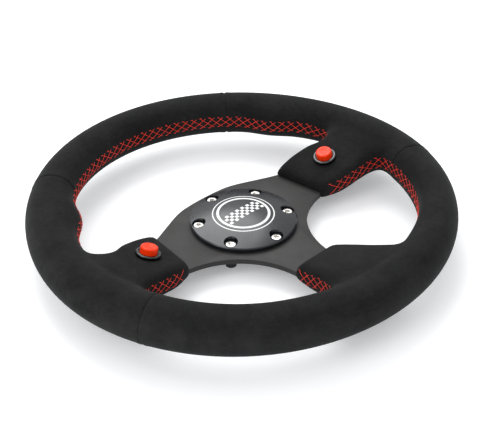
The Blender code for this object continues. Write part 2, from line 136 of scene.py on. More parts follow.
BUTTON_PLACE = (0.0937, 0.0011, 0.0203)
BUTTON_TILT = math.atan(ARM_SLOPE)
BARREL_HOLE = 0.0078
POCKET_RADIUS = 0.0125
CAP_RADIUS = 0.0064
CAP_TOP = 0.0072
BEZEL_RADIUS = 0.0093


# ---------------------------------------------------------------------------- node materials

class Shading:
    """A material being built: it adds nodes and links them in one call."""

    def __init__(self, name):
        self.material = bpy.data.materials.new(name)
        self.material.use_nodes = True
        self.nodes = self.material.node_tree.nodes
        self.links = self.material.node_tree.links
        self.shader = self.nodes["Principled BSDF"]
        self.place = self.add("ShaderNodeTexCoord").outputs["Object"]

    def add(self, kind, **settings):
        node = self.nodes.new(kind)
        for key, value in settings.items():
            setattr(node, key, value)
        return node

    def set(self, **values):
        for name, value in values.items():
            self.shader.inputs[name.replace("_", " ")].default_value = value

    def noise(self, scale, detail=3.0, roughness=0.55, stretch=None):
        node = self.add("ShaderNodeTexNoise")
        node.inputs["Scale"].default_value = scale
        node.inputs["Detail"].default_value = detail
        node.inputs["Roughness"].default_value = roughness
        vector = self.place
        if stretch:
            mapping = self.add("ShaderNodeMapping")
            mapping.inputs["Scale"].default_value = stretch
            self.links.new(vector, mapping.inputs["Vector"])
            vector = mapping.outputs["Vector"]
        self.links.new(vector, node.inputs["Vector"])
        return node.outputs["Fac"]

    def ramp(self, factor, low, high, start=0.3, end=0.7):
        node = self.add("ShaderNodeValToRGB")
        node.color_ramp.elements[0].position = start
        node.color_ramp.elements[0].color = (*low, 1.0)
        node.color_ramp.elements[1].position = end
        node.color_ramp.elements[1].color = (*high, 1.0)
        self.links.new(factor, node.inputs["Fac"])
        return node.outputs["Color"]

    def scaled(self, factor, low, high, start=0.25, end=0.75):
        node = self.add("ShaderNodeMapRange")
        node.inputs["From Min"].default_value = start
        node.inputs["From Max"].default_value = end
        node.inputs["To Min"].default_value = low
        node.inputs["To Max"].default_value = high
        self.links.new(factor, node.inputs["Value"])
        return node.outputs["Result"]

    def mix(self, factor, first, second, blend="MIX"):
        node = self.add("ShaderNodeMix", data_type="RGBA", blend_type=blend)
        if isinstance(factor, float):
            node.inputs["Factor"].default_value = factor
        else:
            self.links.new(factor, node.inputs["Factor"])
        for socket, value in ((node.inputs[6], first), (node.inputs[7], second)):
            if isinstance(value, tuple):
                socket.default_value = (*value, 1.0)
            else:
                self.links.new(value, socket)
        return node.outputs[2]

    def math(self, operation, first, second):
        node = self.add("ShaderNodeMath", operation=operation)
        for socket, value in zip(node.inputs, (first, second)):
            if isinstance(value, (int, float)):
                socket.default_value = value
            else:
                self.links.new(value, socket)
        return node.outputs["Value"]

    def attribute(self, name):
        return self.add("ShaderNodeAttribute", attribute_name=name).outputs["Fac"]

    def colour(self, socket):
        self.links.new(socket, self.shader.inputs["Base Color"])

    def rough(self, socket):
        self.links.new(socket, self.shader.inputs["Roughness"])

    def bump(self, height, distance, strength=1.0, under=None):
        node = self.add("ShaderNodeBump")
        node.inputs["Strength"].default_value = strength
        node.inputs["Distance"].default_value = distance
        self.links.new(height, node.inputs["Height"])
        if under is not None:
            self.links.new(under, node.inputs["Normal"])
        self.links.new(node.outputs["Normal"], self.shader.inputs["Normal"])
        return node.outputs["Normal"]


def suede_material():
    """Short dark nap, brushed lighter in soft patches, and greyer on the outer edge and on top, partly from
    wear and partly as painted sheen.
    """
    s = Shading("black_suede")
    brushed = s.ramp(s.noise(30, 4, 0.6), (0.0070, 0.0071, 0.0074), (0.0124, 0.0125, 0.0128), 0.34, 0.66)
    strokes = s.ramp(s.noise(230, 3, 0.6, (1.0, 1.0, 2.2)), (0.80, 0.80, 0.80), (1.20, 1.20, 1.20), 0.3, 0.7)
    fibres = s.ramp(s.noise(1500, 2, 0.7), (0.60, 0.60, 0.60), (1.45, 1.45, 1.45), 0.3, 0.7)
    nap = s.mix(1.0, s.mix(1.0, brushed, strokes, "MULTIPLY"), fibres, "MULTIPLY")
    # Greyer on the outer edge and on top, partly wear and partly painted sheen, broken up by noise.
    wear_and_sheen = s.math("MULTIPLY", s.attribute("wear_and_sheen"), s.scaled(s.noise(75, 5, 0.65), 0.15, 1.0, 0.35, 0.65))
    s.colour(s.mix(wear_and_sheen, nap, (0.030, 0.030, 0.030)))
    s.set(Roughness=0.96, Sheen_Weight=0.045, Sheen_Roughness=0.40, Sheen_Tint=(0.75, 0.76, 0.78, 1.0))
    s.set(Specular_IOR_Level=0.12)
    coarse = s.bump(s.noise(420, 3, 0.6), 0.00030, 0.5)
    s.bump(s.noise(1700, 2, 0.7), 0.00012, 0.8, coarse)
    return s.material


def foam_material():
    s = Shading("cut_foam")
    s.colour(s.ramp(s.noise(900, 3), (0.020, 0.020, 0.020), (0.050, 0.050, 0.050)))
    s.set(Roughness=0.95)
    s.bump(s.noise(1400, 2, 0.7), 0.0003, 0.8)
    return s.material


def plate_material():
    """Black anodising over a fine bead-blasted face."""
    s = Shading("black_anodised_plate")
    tone = s.ramp(s.noise(30, 4, 0.5), (0.020, 0.020, 0.0195), (0.026, 0.026, 0.0255), 0.3, 0.7)
    grain = s.ramp(s.noise(2600, 2, 0.6), (0.86, 0.86, 0.86), (1.14, 1.14, 1.14))
    s.colour(s.mix(1.0, tone, grain, "MULTIPLY"))
    s.rough(s.scaled(s.noise(55, 4, 0.6), 0.46, 0.60))
    s.set(Metallic=0.0, Specular_IOR_Level=0.27)
    s.bump(s.noise(3200, 2, 0.6), 0.00004, 0.6)
    return s.material


def disc_material():
    """Black anodising over a smooth machined face, with a slightly uneven gloss."""
    s = Shading("black_anodised_disc")
    s.colour(s.ramp(s.noise(26, 4, 0.55), (0.007, 0.009, 0.012), (0.012, 0.015, 0.019), 0.3, 0.7))
    s.rough(s.scaled(s.noise(70, 5, 0.6), 0.20, 0.30))
    s.set(Metallic=0.0, Specular_IOR_Level=0.46)
    s.bump(s.noise(2600, 2, 0.6), 0.00002, 0.5)
    return s.material


def metal_material(name, low, high, roughness):
    s = Shading(name)
    s.colour(s.ramp(s.noise(240, 4, 0.6), low, high, 0.3, 0.7))
    s.rough(s.scaled(s.noise(300, 4, 0.6), roughness * 0.8, roughness * 1.25))
    s.set(Metallic=1.0)
    s.bump(s.noise(1800.0, 2, 0.6), 0.00002, 0.6)
    return s.material


def plastic_material(name, low, high, roughness, specular=0.5, grain=0.5):
    s = Shading(name)
    s.colour(s.ramp(s.noise(160, 4, 0.6), low, high, 0.3, 0.7))
    s.rough(s.scaled(s.noise(420, 4, 0.6), roughness * 0.85, roughness * 1.2))
    s.set(Specular_IOR_Level=specular)
    s.bump(s.noise(2400, 2, 0.6), 0.00002, grain)
    return s.material


def thread_material():
    """Red bonded thread, with its ply showing as fine slanted ridges."""
    s = Shading("red_thread")
    s.colour(s.ramp(s.noise(700, 3, 0.6), (0.66, 0.014, 0.002), (0.90, 0.030, 0.004), 0.3, 0.7))
    s.set(Roughness=0.62, Sheen_Weight=0.05, Sheen_Roughness=0.5)
    ply = s.add("ShaderNodeTexWave", wave_type="BANDS", bands_direction="DIAGONAL")
    ply.inputs["Scale"].default_value = 900.0
    ply.inputs["Distortion"].default_value = 1.0
    s.links.new(s.place, ply.inputs["Vector"])
    s.bump(ply.outputs["Fac"], 0.00012, 0.7)
    return s.material


def floor_material():
    s = Shading("pale_floor")
    s.colour(s.ramp(s.noise(3, 2), (0.86, 0.87, 0.88), (0.88, 0.89, 0.90)))
    s.set(Roughness=0.60, Specular_IOR_Level=0.2)
    s.set(Emission_Color=(0.97, 0.98, 1.0, 1.0), Emission_Strength=0.26)
    return s.material


SUEDE = suede_material()
FOAM = foam_material()
PLATE = plate_material()
DISC = disc_material()
ZINC = metal_material("zinc_plated_steel", (0.62, 0.60, 0.57), (0.80, 0.79, 0.76), 0.24)
BLACK_STEEL = metal_material("black_oxide_steel", (0.030, 0.030, 0.032), (0.060, 0.060, 0.064), 0.36)
DARK_CHROME = metal_material("dark_chrome", (0.050, 0.050, 0.053), (0.085, 0.085, 0.088), 0.16)
ALUMINIUM = metal_material("bare_aluminium_tube", (0.62, 0.62, 0.63), (0.75, 0.75, 0.76), 0.42)
BRASS = metal_material("contact_brass", (0.60, 0.36, 0.20), (0.78, 0.48, 0.28), 0.30)
WHITE = plastic_material("white_print", (0.74, 0.74, 0.75), (0.86, 0.86, 0.86), 0.50)
RED = plastic_material("red_cap", (0.86, 0.032, 0.001), (0.92, 0.042, 0.002), 0.26, 0.20, 0.2)
BLACK_PLASTIC = plastic_material("black_switch_plastic", (0.016, 0.016, 0.017), (0.030, 0.030, 0.031), 0.42)
RUBBER = plastic_material("black_rubber", (0.012, 0.012, 0.012), (0.022, 0.022, 0.022), 0.80)
THREAD = thread_material()

SLOT_MATERIALS = {
    "suede": SUEDE, "foam": FOAM, "black_plate": PLATE, "gloss_black": DISC, "bare_aluminium": ALUMINIUM,
    "zinc_steel": ZINC, "black_steel": BLACK_STEEL, "white_enamel": WHITE, "red_plastic": RED,
    "black_plastic": BLACK_PLASTIC, "rubber": RUBBER, "copper": BRASS,
}


def paint_frame():
    """Every CAD node takes the procedural material of its slot."""
    slots = {part["node"]: part["material_slot"] for part in frame["record"]["subparts"]}
    for name, node in frame["nodes"].items():
        node.data.materials.clear()
        node.data.materials.append(SLOT_MATERIALS[slots[name]])
        for polygon in node.data.polygons:
            polygon.material_index = 0


paint_frame()


# ---------------------------------------------------------------------------- mesh helpers

def add_piece(name, builder, finish, body, replaced=(), angle=35.0, transform=Matrix.Identity(4)):
    """A bmesh becomes a smooth-shaded piece that rides on a body and stands for CAD nodes."""
    bmesh.ops.recalc_face_normals(builder, faces=builder.faces)
    mesh = bpy.data.meshes.new(name)
    builder.to_mesh(mesh)
    builder.free()
    mesh.shade_smooth()
    mesh.set_sharp_from_angle(angle=math.radians(angle))
    mesh.materials.append(finish)
    made = bpy.data.objects.new(name, mesh)
    made.matrix_world = transform
    bpy.context.scene.collection.objects.link(made)
    if body:
        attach(made, body)
    if replaced:
        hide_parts(*replaced)
    return made


def bake_modifiers(piece):
    """Applies the piece's modifiers to its mesh."""
    bpy.context.view_layer.update()
    graph = bpy.context.evaluated_depsgraph_get()
    mesh = bpy.data.meshes.new_from_object(piece.evaluated_get(graph))
    piece.modifiers.clear()
    piece.data = mesh
    return piece


def carve(piece, cutters, angle=35.0):
    for cutter in cutters:
        modifier = piece.modifiers.new("carve", "BOOLEAN")
        modifier.operation = "DIFFERENCE"
        modifier.object = cutter
        modifier.material_mode = "TRANSFER"
    bake_modifiers(piece)
    piece.data.shade_smooth()
    piece.data.set_sharp_from_angle(angle=math.radians(angle))
    for cutter in cutters:
        bpy.data.objects.remove(cutter, do_unlink=True)


def bevel(piece, width, segments):
    modifier = piece.modifiers.new("bevel", "BEVEL")
    modifier.width = width
    modifier.segments = segments
    modifier.limit_method = "ANGLE"
    modifier.angle_limit = math.radians(40)
    bake_modifiers(piece)
    piece.data.shade_smooth()
    piece.data.set_sharp_from_angle(angle=math.radians(50))


def turned(profile, steps):
    """A solid turned round Z from a closed (radius, z) outline."""
    builder = bmesh.new()
    points = [builder.verts.new((radius, 0.0, z)) for radius, z in profile]
    edges = [builder.edges.new(pair) for pair in zip(points, points[1:])]
    if profile[0][0] > 0:
        edges.append(builder.edges.new((points[-1], points[0])))
    bmesh.ops.spin(builder, geom=points + edges, axis=(0, 0, 1), cent=(0, 0, 0),
                   steps=steps, angle=math.tau, use_merge=True)
    bmesh.ops.remove_doubles(builder, verts=builder.verts, dist=1e-7)
    return builder


def cylinder(radius, bottom, top, steps):
    return turned([(0, bottom), (radius, bottom), (radius, top), (0, top)], steps)


def prism(outline, bottom, top):
    builder = bmesh.new()
    face = builder.faces.new([builder.verts.new((x, y, bottom)) for x, y in outline])
    raised = bmesh.ops.extrude_face_region(builder, geom=[face])["geom"]
    bmesh.ops.translate(builder, vec=(0, 0, top - bottom),
                        verts=[item for item in raised if isinstance(item, bmesh.types.BMVert)])
    return builder


def loft(sections, closed=False, builder=None):
    builder = builder or bmesh.new()
    rings = [[builder.verts.new(point) for point in section] for section in sections]
    following = rings[1:] + rings[:1] if closed else rings[1:]
    for here, there in zip(rings, following):
        for i in range(len(here)):
            j = (i + 1) % len(here)
            builder.faces.new((here[i], here[j], there[j], there[i]))
    if not closed:
        builder.faces.new(rings[0])
        builder.faces.new(rings[-1])
    return builder


def arc(centre, radius, start, end, steps):
    angles = [start + (end - start) * i / steps for i in range(steps + 1)]
    return [(centre[0] + radius * math.cos(a), centre[1] + radius * math.sin(a)) for a in angles]


def smoothstep(value, start, end):
    t = max(0.0, min(1.0, (value - start) / (end - start)))
    return t * t * (3 - 2 * t)


def curve_through(stations, position):
    """Smooth values between listed stations, whose first number is the position."""
    last = len(stations) - 1
    i = max(k for k in range(last) if k == 0 or stations[k][0] <= position)
    before, here = stations[max(i - 1, 0)], stations[i]
    there, after = stations[i + 1], stations[min(i + 2, last)]
    step = there[0] - here[0]
    t = max(0.0, min(1.0, (position - here[0]) / step))
    values = []
    for k in range(1, len(here)):
        first = (there[k] - before[k]) / max(1e-9, there[0] - before[0]) * step
        second = (after[k] - here[k]) / max(1e-9, after[0] - here[0]) * step
        values.append(here[k] * (1 + t * t * (2 * t - 3)) + there[k] * t * t * (3 - 2 * t)
                      + first * t * (1 - t) ** 2 - second * t * t * (1 - t))
    return values


# ---------------------------------------------------------------------------- padded grip

SIDE_PAD = [
    (0.0660, -0.0182, 0.0295, -0.0016, 0.0090),
    (0.0680, -0.0190, 0.0291, -0.0016, 0.0116),
    (0.0730, -0.0206, 0.0287, -0.0016, 0.0142),
    (0.0840, -0.0228, 0.0284, -0.0016, 0.0174),
    (0.0940, -0.0242, 0.0268, -0.0006, 0.0202),
    (0.1010, -0.0250, 0.0254, 0.0006, 0.0221),
    (0.1080, -0.0260, 0.0220, 0.0018, 0.0240),
    (0.1150, -0.0272, 0.0214, 0.0029, 0.0259),
    (0.1220, -0.0290, 0.0238, 0.0040, 0.0279),
    (0.1400, -0.0370, 0.0340, 0.0070, 0.0318),
]
LOWER_PAD = [
    (0.0730, -0.0200, 0.0200, -0.0016, 0.0090),
    (0.0750, -0.0212, 0.0212, -0.0016, 0.0116),
    (0.0800, -0.0222, 0.0222, -0.0016, 0.0142),
    (0.0920, -0.0238, 0.0238, -0.0010, 0.0196),
    (0.1050, -0.0262, 0.0262, 0.0010, 0.0250),
    (0.1180, -0.0320, 0.0320, 0.0036, 0.0296),
    (0.1340, -0.0420, 0.0420, 0.0070, 0.0325),
]


def rim_radius(angle):
    return RIM_RADIUS + RIM_RISE * math.cos(angle) + RIM_FLATTENING * math.cos(3 * angle)


def bump(angle, middle, spread):
    """A soft hump, 1 at the middle on both sides of the wheel and 0 far from it."""
    away = (abs(math.remainder(angle, math.tau)) - middle) / spread
    return math.exp(-away * away)


def rim_section(angle, sides):
    """One section of the rim. The grip is fuller beside the spokes and flatter inside the lower quarters."""
    squareness = bump(angle, LOWER_ANGLE, LOWER_SPREAD)
    outer = GRIP_HALF + SIDE_SWELL * bump(angle, SIDE_ANGLE, SIDE_SPREAD)
    inner = GRIP_HALF + THUMB_SWELL * bump(angle, THUMB_ANGLE, THUMB_SPREAD) - LOWER_HOLLOW * squareness
    points = []
    for i in range(sides):
        turn = math.tau * i / sides
        outward, upward = math.cos(turn), math.sin(turn)
        if outward < 0:
            power = 1 - squareness / 3
            outward = -abs(outward) ** power
            upward = math.copysign(abs(upward) ** power, upward)
        radius = rim_radius(angle) + (outer if outward > 0 else inner) * outward
        points.append((radius * math.sin(angle), radius * math.cos(angle), RIM_CENTRE_Z + GRIP_HALF * upward))
    return points


def pad_sections(stations, towards):
    """Rounded sections along a spoke's padding, closely spaced."""
    first, last = stations[0][0], stations[-1][0]
    steps = 40
    sections = []
    for i in range(steps + 1):
        reach = first + (last - first) * i / steps
        low, high, bottom, top = curve_through(stations, reach)
        corner = min(0.0056, 0.45 * (top - bottom))
        centres = [(high - corner, top - corner), (low + corner, top - corner),
                   (low + corner, bottom + corner), (high - corner, bottom + corner)]
        flat = []
        for quarter, centre in enumerate(centres):
            start = quarter * math.pi / 2
            flat += arc(centre, corner, start, start + math.pi / 2, 6)
        if towards == "lower":
            sections.append([(across, -reach, height) for across, height in flat])
        else:
            side = SIDES[towards]
            slant = LIP_SLANT * max(0.0, 1 - (reach - LIP_X) / LIP_SLANT_REACH)
            sections.append([(side * (reach + slant * (stations[0][2] - across)), across, height)
                             for across, height in flat])
    return sections


GRIP_VOXEL = 0.0016
GRIP_RELAX_STEPS = 10
FILLET_RELAX_STEPS = 70


def grip_shape():
    """Rim and spoke padding as one skin, remeshed together and relaxed so that they flow into each other."""
    builder = loft([rim_section(math.tau * i / 180, 36) for i in range(180)], closed=True)
    for towards, stations in (("left", SIDE_PAD), ("right", SIDE_PAD), ("lower", LOWER_PAD)):
        loft(pad_sections(stations, towards), builder=builder)
    shape = add_piece("grip", builder, SUEDE, None)
    remesh = shape.modifiers.new("remesh", "REMESH")
    remesh.mode = "VOXEL"
    remesh.voxel_size = GRIP_VOXEL
    relax = shape.modifiers.new("relax", "SMOOTH")
    relax.factor = 0.5
    relax.iterations = GRIP_RELAX_STEPS
    bake_modifiers(shape)
    return fill_corners(shape)


# Where each spoke's padding runs into the rim, as (across from the wheel's middle, up)
CORNERS = ((0.1190, -0.0300), (0.1200, 0.0270), (0.0330, -0.1180))
CORNER_REACH = 0.015


def fill_corners(shape):
    """Relaxes the skin further in the inside corners, so that padding and rim meet in wide fillets."""
    group = shape.vertex_groups.new(name="corners")
    for vert in shape.data.vertices:
        away = min(math.hypot(abs(vert.co.x) - x, vert.co.y - y) for x, y in CORNERS) / CORNER_REACH
        if away < 2.2:
            group.add([vert.index], math.exp(-away * away), "REPLACE")
    relax = shape.modifiers.new("fillets", "SMOOTH")
    relax.factor = 0.5
    relax.iterations = FILLET_RELAX_STEPS
    relax.vertex_group = "corners"
    return bake_modifiers(shape)


grip = grip_shape()


def button_frame(side):
    sign = SIDES[side]
    lean = Matrix.Rotation(-sign * BUTTON_TILT, 4, "Y")
    x, y, z = BUTTON_PLACE
    return Matrix.Translation((sign * x, y, z)) @ lean


def angle_of(point):
    """Clockwise from the wheel's top."""
    return math.atan2(point.x, point.y)


SEAMS = (UPPER_SEAM, LOWER_SEAM, -LOWER_SEAM, -UPPER_SEAM)
SEAM_ROWS = (0.0, -0.0005, 0.0005, -0.0010, 0.0010, -0.0018, 0.0018)
GROOVE_DEPTH = 0.00055
GROOVE_WIDTH = 0.0005
ROLL_HEIGHT = 0.00025
ROLL_PLACE = 0.0026
ROLL_WIDTH = 0.0016


def seam_distance(point, seam):
    """Signed distance from the seam's plane, clockwise positive."""
    return point.x * math.cos(seam) - point.y * math.sin(seam)


def near_seam(point, seam):
    return abs(math.remainder(angle_of(point) - seam, math.tau)) < math.radians(7)


def cut_seam_rows(builder, seam):
    """Extra edge rows on both sides of a seam, so that its groove has a shape."""
    normal = Vector((math.cos(seam), -math.sin(seam), 0))
    for offset in SEAM_ROWS:
        faces = [f for f in builder.faces if near_seam(f.calc_center_median(), seam)
                 and abs(seam_distance(f.calc_center_median(), seam)) < 0.006]
        edges = {e for f in faces for e in f.edges}
        verts = {v for f in faces for v in f.verts}
        bmesh.ops.bisect_plane(builder, geom=[*verts, *edges, *faces], dist=1e-6,
                               plane_co=normal * offset, plane_no=normal)


def seam_profile(distance):
    """How far the skin sinks at a distance from the seam: a tight groove between two soft rolls."""
    groove = GROOVE_DEPTH * math.exp(-(distance / GROOVE_WIDTH) ** 2)
    roll = ROLL_HEIGHT * math.exp(-((abs(distance) - ROLL_PLACE) / ROLL_WIDTH) ** 2)
    return groove - roll


def panel_of(point):
    angle = angle_of(point)
    if abs(angle) < UPPER_SEAM:
        return "top"
    if abs(angle) > LOWER_SEAM:
        return "lower"
    return "right" if angle > 0 else "left"


def wear_and_sheen_amount(point):
    """More wear and painted sheen on the outer edge and on top of the side spokes."""
    radius = math.hypot(point.x, point.y)
    outer = smoothstep(radius, 0.152, 0.164) * 0.55
    crest = smoothstep(point.z, 0.031, 0.0355) * 0.22
    return min(1.0, outer + crest)


def close_holes(builder):
    loops = [e for e in builder.edges if e.is_boundary]
    bmesh.ops.holes_fill(builder, edges=loops, sides=0)


def make_panels(shape):
    """Splits the grip at its four seams into closed panels."""
    builder = bmesh.new()
    builder.from_mesh(shape.data)
    for seam in SEAMS:
        cut_seam_rows(builder, seam)
    builder.normal_update()
    moves = []
    for vert in builder.verts:
        sink = sum(seam_profile(seam_distance(vert.co, seam)) for seam in SEAMS if near_seam(vert.co, seam))
        moves.append(vert.co - vert.normal * sink)
    for vert, place in zip(builder.verts, moves):
        vert.co = place
    panels = {}
    for name in ("top", "right", "lower", "left"):
        part = builder.copy()
        far = [f for f in part.faces if panel_of(f.calc_center_median()) != name]
        bmesh.ops.delete(part, geom=far, context="FACES")
        close_holes(part)
        panels[name] = add_piece(f"{name}_grip_panel", part, SUEDE, None, angle=75.0)
    builder.free()
    bpy.data.objects.remove(shape, do_unlink=True)
    return panels


def pocket_cutters(side):
    cuts = ((BARREL_HOLE, -0.0165, 0.0200), (POCKET_RADIUS, -0.0400, -0.0150))
    return [add_piece("cutter", cylinder(radius, bottom, top, 48), FOAM, None, transform=button_frame(side))
            for radius, bottom, top in cuts]


def mark_wear_and_sheen(piece):
    # Stores how much wear and painted sheen each point of the suede gets.
    mesh = piece.data
    layer = mesh.attributes.new("wear_and_sheen", "FLOAT", "POINT")
    for i, vert in enumerate(mesh.vertices):
        layer.data[i].value = wear_and_sheen_amount(vert.co)


def add_grip():
    skin = BVHTree.FromObject(grip, bpy.context.evaluated_depsgraph_get())
    panels = make_panels(grip)
    for side in SIDES:
        carve(panels[side], pocket_cutters(side), angle=75.0)
    stands_for = {"top": ("top_cover", "rim_core_ring"), "left": ("left_cover",), "right": ("right_cover",),
                  "lower": ("lower_cover", "rim_foam")}
    for name, piece in panels.items():
        mark_wear_and_sheen(piece)
        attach(piece, WHEEL)
        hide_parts(*stands_for[name])
    return skin


grip_skin = add_grip()


# ---------------------------------------------------------------------------- cross stitching

STITCH_BAND = 0.0048
STITCH_PITCH = 0.0076
STITCH_SPAN = 1.62
THREAD_RADIUS = 0.00020
PATH_STEP = 0.0004
LIP_MARGIN = 0.0040


def pad_middle(stations, reach):
    _, _, bottom, top = curve_through(stations, max(stations[0][0], min(stations[-1][0], reach)))
    return 0.5 * (bottom + top)


def seam_height(x, y):
    """The height of the sewn joint: the rim's middle, or the middle of a spoke's side."""
    beside_arm = smoothstep(abs(x), 0.045, 0.058)
    side_weight = beside_arm * (1 - smoothstep(abs(y), 0.031, 0.047))
    lower_weight = (1 - beside_arm) * smoothstep(-y, 0.060, 0.066) * (1 - smoothstep(-y, 0.118, 0.130))
    height = RIM_CENTRE_Z
    height += side_weight * (pad_middle(SIDE_PAD, abs(x)) - RIM_CENTRE_Z)
    height += lower_weight * (pad_middle(LOWER_PAD, -y) - RIM_CENTRE_Z)
    return height


def at_lip(point):
    """True where a spoke's padding ends, which is where the sewn joint stops."""
    side_lip = LIP_X + LIP_SLANT * max(0.0, SIDE_PAD[0][2] - point.y) + LIP_MARGIN
    beside = abs(point.y) < 0.034 and abs(point.x) < side_lip
    below = -0.1000 < point.y < -0.0600 and abs(point.x) < 0.0300 and -point.y < LIP_Y + LIP_MARGIN
    return beside or below


def crawl(start, turning):
    """Walks along the padding's inner wall, level with the sewn joint, until a spoke's end."""
    point, path = start, []
    for _ in range(2000):
        spot, normal, _, _ = grip_skin.find_nearest(point)
        if at_lip(spot):
            break
        path.append(Vector((spot.x, spot.y, seam_height(spot.x, spot.y))))
        onward = Vector((normal.y, -normal.x, 0.0)).normalized() * turning
        point = path[-1] + onward * PATH_STEP
    return path


def joint_path(angle):
    """The sewn joint round one opening, found from a point inside the rim at this angle from the top."""
    reach = rim_radius(angle) - GRIP_HALF
    start = Vector((reach * math.sin(angle), reach * math.cos(angle), RIM_CENTRE_Z))
    first, second = (crawl(start, turning) for turning in (1, -1))
    return resampled(list(reversed(first)) + second[1:], PATH_STEP)


def resampled(points, spacing):
    lengths = [0.0]
    for a, b in zip(points, points[1:]):
        lengths.append(lengths[-1] + (b - a).length)
    count = int(lengths[-1] / spacing)
    result, k = [], 0
    for i in range(count + 1):
        target = lengths[-1] * i / count
        while k < len(points) - 2 and lengths[k + 1] < target:
            k += 1
        part = (target - lengths[k]) / max(1e-9, lengths[k + 1] - lengths[k])
        result.append(points[k].lerp(points[k + 1], min(1.0, part)))
    return result


def on_skin(path, along, across, lift):
    """A point on the padding: at a distance along the sewn joint, and up or down from it."""
    place = max(0.0, min(len(path) - 1.001, along / PATH_STEP))
    i = int(place)
    base = path[i].lerp(path[min(i + 1, len(path) - 1)], place - i)
    tangent = (path[min(i + 8, len(path) - 1)] - path[max(i - 8, 0)]).normalized()
    middle, middle_normal, _, _ = grip_skin.find_nearest(base)
    upward = middle_normal.cross(tangent)
    if upward.z < 0:
        upward.negate()
    spot, spot_normal, _, _ = grip_skin.find_nearest(middle + upward * across)
    return spot + spot_normal * lift


def wander(k):
    """A small hand-sewn unevenness that repeats the same way each time."""
    return 0.00035 * math.sin(12.9898 * k) * math.cos(4.1414 * k)


def stitch_lines(path):
    """Long threads that cross the joint both ways over more than one pitch, and short bars along each row."""
    length = PATH_STEP * (len(path) - 1)
    count = int((length - 0.002) / STITCH_PITCH)
    pitch = (length - 0.002) / count
    span = STITCH_SPAN * pitch
    lines = []
    for k in range(count - 1):
        start = 0.001 + k * pitch
        finish = min(start + span, length - 0.0005)
        band = STITCH_BAND + wander(k)
        lines.append(thread_between(path, (start, finish), (-band, band), 0.00045))
        lines.append(thread_between(path, (start + wander(k + 0.5), finish), (band, -band), 0.00022))
        for row in (-band, band):
            ends = (start - 0.10 * pitch, start + 0.16 * pitch)
            lines.append(thread_between(path, ends, (row, row + wander(k + 0.3)), 0.00012))
    return lines


def thread_between(path, along, across, lift):
    steps = 8
    points = []
    for i in range(steps + 1):
        t = i / steps
        rise = lift * math.sin(math.pi * t) ** 0.5 if 0 < t < 1 else -0.0003
        points.append(on_skin(path, along[0] + (along[1] - along[0]) * t,
                              across[0] + (across[1] - across[0]) * t, rise))
    return points


def add_thread(name, lines):
    curve = bpy.data.curves.new(name, "CURVE")
    curve.dimensions = "3D"
    curve.bevel_depth = THREAD_RADIUS
    curve.bevel_resolution = 2
    curve.use_fill_caps = True
    for line in lines:
        spline = curve.splines.new("POLY")
        spline.points.add(len(line) - 1)
        for point, place in zip(spline.points, line):
            point.co = (*place, 1.0)
    curve.materials.append(THREAD)
    piece = bpy.data.objects.new(name, curve)
    bpy.context.scene.collection.objects.link(piece)
    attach(piece, WHEEL)


def add_stitching():
    joints = {"upper_stitching": 0.0, "lower_right_stitching": LOWER_ANGLE,
              "lower_left_stitching": -LOWER_ANGLE}
    for name, angle in joints.items():
        add_thread(name, stitch_lines(joint_path(angle)))


add_stitching()


# ---------------------------------------------------------------------------- spoke plate

def eased_crown(past):
    """The top edge's height at a distance past the flat crown, where it eases into the straight shoulder."""
    start, end = CROWN_EASE
    first = -start / CROWN_RADIUS
    from_crown = CROWN_TOP - CROWN_RADIUS + math.sqrt(CROWN_RADIUS ** 2 - start ** 2)
    return from_crown + first * past + (SHOULDER_SLOPE - first) * past ** 2 / (2 * (end - start))


def plate_outline():
    """The plate from the driver's side: lower arm, cut-out, right arm and crown, then mirrored."""
    arm_end, lower_end, lower_arm = 0.1400, 0.1370, 0.0120
    right = [(LIP_X + 0.0140, -0.0130), (arm_end, -0.0130), (arm_end, 0.0200), (LIP_X + 0.0140, 0.0200)]
    start, end = CROWN_EASE
    shoulder = [(LIP_X, 0.0280), (0.0590, 0.0306), (0.0520, 0.0336), (0.0450, 0.0366)]
    past = [(end - start) * i / 12 for i in range(12, 0, -1)]
    shoulder += [(start + distance, eased_crown(distance)) for distance in past]
    bend = math.asin(start / CROWN_RADIUS)
    crown = arc((0, CROWN_TOP - CROWN_RADIUS), CROWN_RADIUS, math.pi / 2 - bend, math.pi / 2, 14)
    below_right = math.acos((LIP_X + 0.0030 - CUTOUT_CENTRE[0]) / CUTOUT_RADIUS)
    below_lower = math.pi - math.asin((-LIP_Y - CUTOUT_CENTRE[1]) / CUTOUT_RADIUS)
    sweep = arc(CUTOUT_CENTRE, CUTOUT_RADIUS, below_lower, below_right, 48)
    lower = [(lower_arm, -lower_end), (lower_arm, -LIP_Y - 0.0120)]
    half = lower + sweep + right + shoulder + crown
    return half + [(-x, y) for x, y in reversed(half[:-1])]


def bolt_places():
    angles = [math.tau * i / 6 for i in range(6)]
    return [(BOLT_RADIUS * math.sin(a), BOLT_RADIUS * math.cos(a)) for a in angles]


